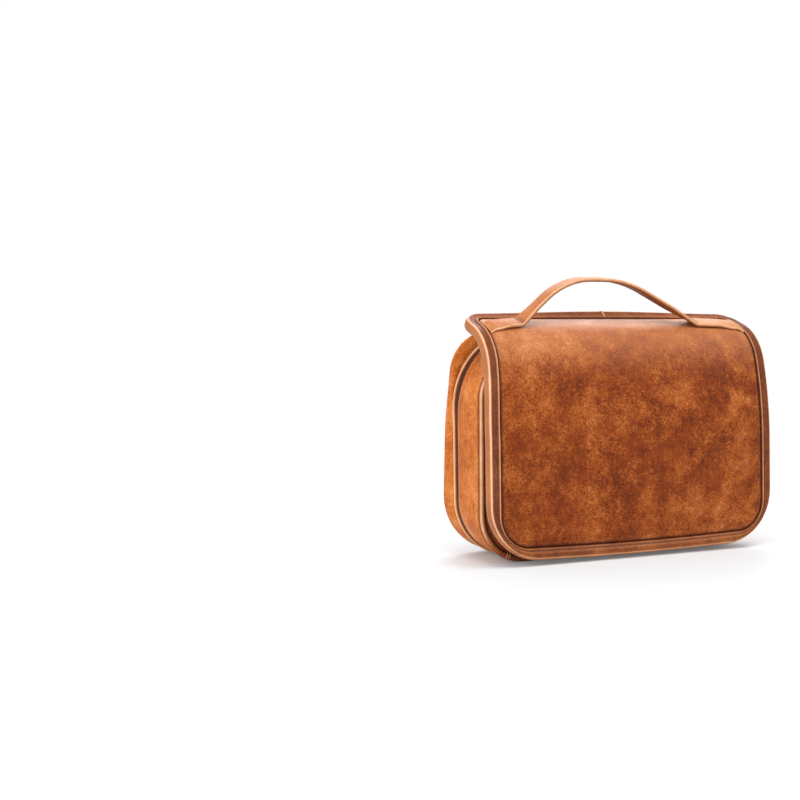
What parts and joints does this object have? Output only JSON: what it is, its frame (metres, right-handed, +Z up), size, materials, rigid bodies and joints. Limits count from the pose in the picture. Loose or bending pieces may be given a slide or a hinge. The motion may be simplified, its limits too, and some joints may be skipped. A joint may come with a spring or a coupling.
{
  "type": "toiletry bag",
  "caption": "Soft leather-look toiletry bag with a padded cover flap, a strap handle and a zipped clamshell body.",
  "frame": {"origin": "middle of the bag's footprint, on the floor it stands on", "axes": "+X across the bag to its right as seen from the front, +Y from the flap to the back, +Z up"},
  "size_m": [0.268, 0.098, 0.2316],
  "materials": {
    "panel_leather": "distressed brown, soft sheen",
    "gusset_leather": "light tan, soft sheen",
    "edge_leather": "darker brown with rubbed pale ridges",
    "strap_leather": "light tan, soft sheen",
    "lining_cloth": "plain dark weave",
    "pocket_cloth": "plain dark weave",
    "padding": "open foam, hidden",
    "board": "plain, hidden",
    "zipper_coil": "dark purple brown",
    "snap_metal": "brushed",
    "slider_metal": "brushed"
  },
  "bodies": {
    "front_shell": {"front_gusset": "gusset_leather", "front_piping": "edge_leather", "front_padding": "padding", "front_panel": "panel_leather", "front_board": "board", "front_lining": "lining_cloth", "front_zipper": "zipper_coil", "hinge_strip": "gusset_leather", "spine_panel": "panel_leather", "spine_padding": "padding", "spine_lining": "lining_cloth", "spine_binding": "edge_leather", "spine_seat": "gusset_leather", "handle_end_left": "strap_leather", "handle_end_right": "strap_leather", "front_snap_left": "snap_metal", "front_snap_right": "snap_metal"},
    "rear_shell": {"rear_gusset": "gusset_leather", "rear_panel": "panel_leather", "rear_board": "board", "rear_lining": "lining_cloth", "rear_pocket": "pocket_cloth", "rear_pocket_hem": "pocket_cloth", "rear_zipper": "zipper_coil"},
    "flap": {"flap_panel": "panel_leather", "flap_padding": "padding", "flap_lining": "lining_cloth", "flap_binding": "edge_leather", "flap_snap_left": "snap_metal", "flap_snap_right": "snap_metal"},
    "handle": {"handle_strap": "strap_leather"},
    "slider_left": {"slider_left": "slider_metal"},
    "slider_right": {"slider_right": "slider_metal"},
    "pull_left": {"pull_left": "slider_metal"},
    "pull_right": {"pull_right": "slider_metal"}
  },
  "joints": [
    {"name": "shell_hinge", "type": "hinge", "parent": "front_shell", "child": "rear_shell", "pos_m": [0, 0.0197, 0], "axis": [-1, 0, 0], "range_deg": [0, 180]},
    {"name": "flap_hinge", "type": "hinge", "parent": "front_shell", "child": "flap", "pos_m": [0, -0.03244, 0.17947], "axis": [-1, 0, 0], "range_deg": [0, 110]},
    {"name": "handle_tilt", "type": "hinge", "parent": "front_shell", "child": "handle", "pos_m": [0, -0.01733, 0.203], "axis": [-1, 0, 0], "range_deg": [-60, 60]},
    {"name": "slider_left_run", "type": "slide", "parent": "front_shell", "child": "slider_left", "axis": [-1, 0, 0], "range_m": [0, 0.048]},
    {"name": "slider_right_run", "type": "slide", "parent": "front_shell", "child": "slider_right", "axis": [1, 0, 0], "range_m": [0, 0.048]},
    {"name": "pull_left_swing", "type": "hinge", "parent": "slider_left", "child": "pull_left", "pos_m": [-0.0093, 0.0197, 0.1928], "axis": [0, 1, 0], "range_deg": [0, 100]},
    {"name": "pull_right_swing", "type": "hinge", "parent": "slider_right", "child": "pull_right", "pos_m": [0.0093, 0.0197, 0.1928], "axis": [0, -1, 0], "range_deg": [0, 100]}
  ]
}
